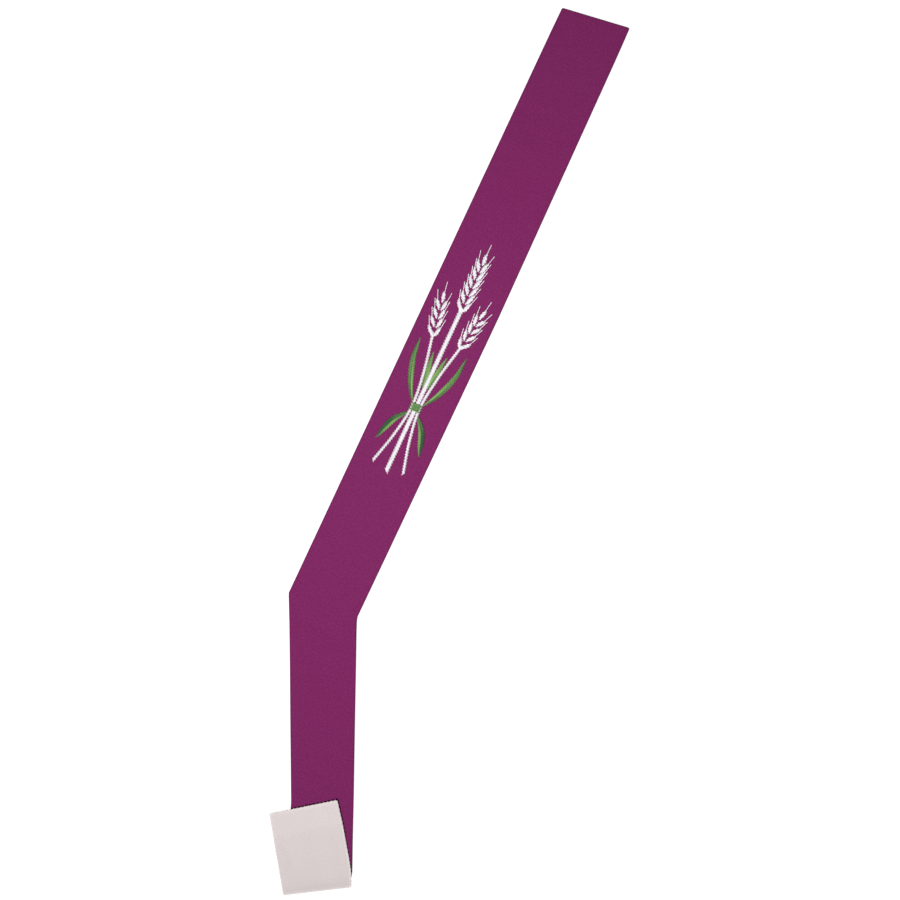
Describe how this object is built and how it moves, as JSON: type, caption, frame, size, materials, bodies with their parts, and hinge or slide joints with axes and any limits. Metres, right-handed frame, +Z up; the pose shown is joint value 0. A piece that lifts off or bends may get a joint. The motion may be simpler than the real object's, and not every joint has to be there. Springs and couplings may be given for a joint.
{
  "type": "clerical stole",
  "caption": "Deacon's stole laid flat: a narrow dog-legged band of lined cloth, its front end folded up to show the lining.",
  "frame": {"origin": "on the surface the stole lies on, under the middle of its outline", "axes": "+Z up from the surface, +Y towards the shoulder end along the outline's length, +X towards the wearer's left shoulder"},
  "size_m": [0.4866, 1.1984, 0.0083],
  "materials": {
    "face_cloth": "matt fine-woven purple cloth",
    "back_cloth": "matt fine-woven purple cloth, underside",
    "lining": "soft satin-woven cream lining"
  },
  "bodies": {
    "root": {"back_panel": "back_cloth", "front_lining": "lining", "front_face": "face_cloth"}
  },
  "joints": []
}
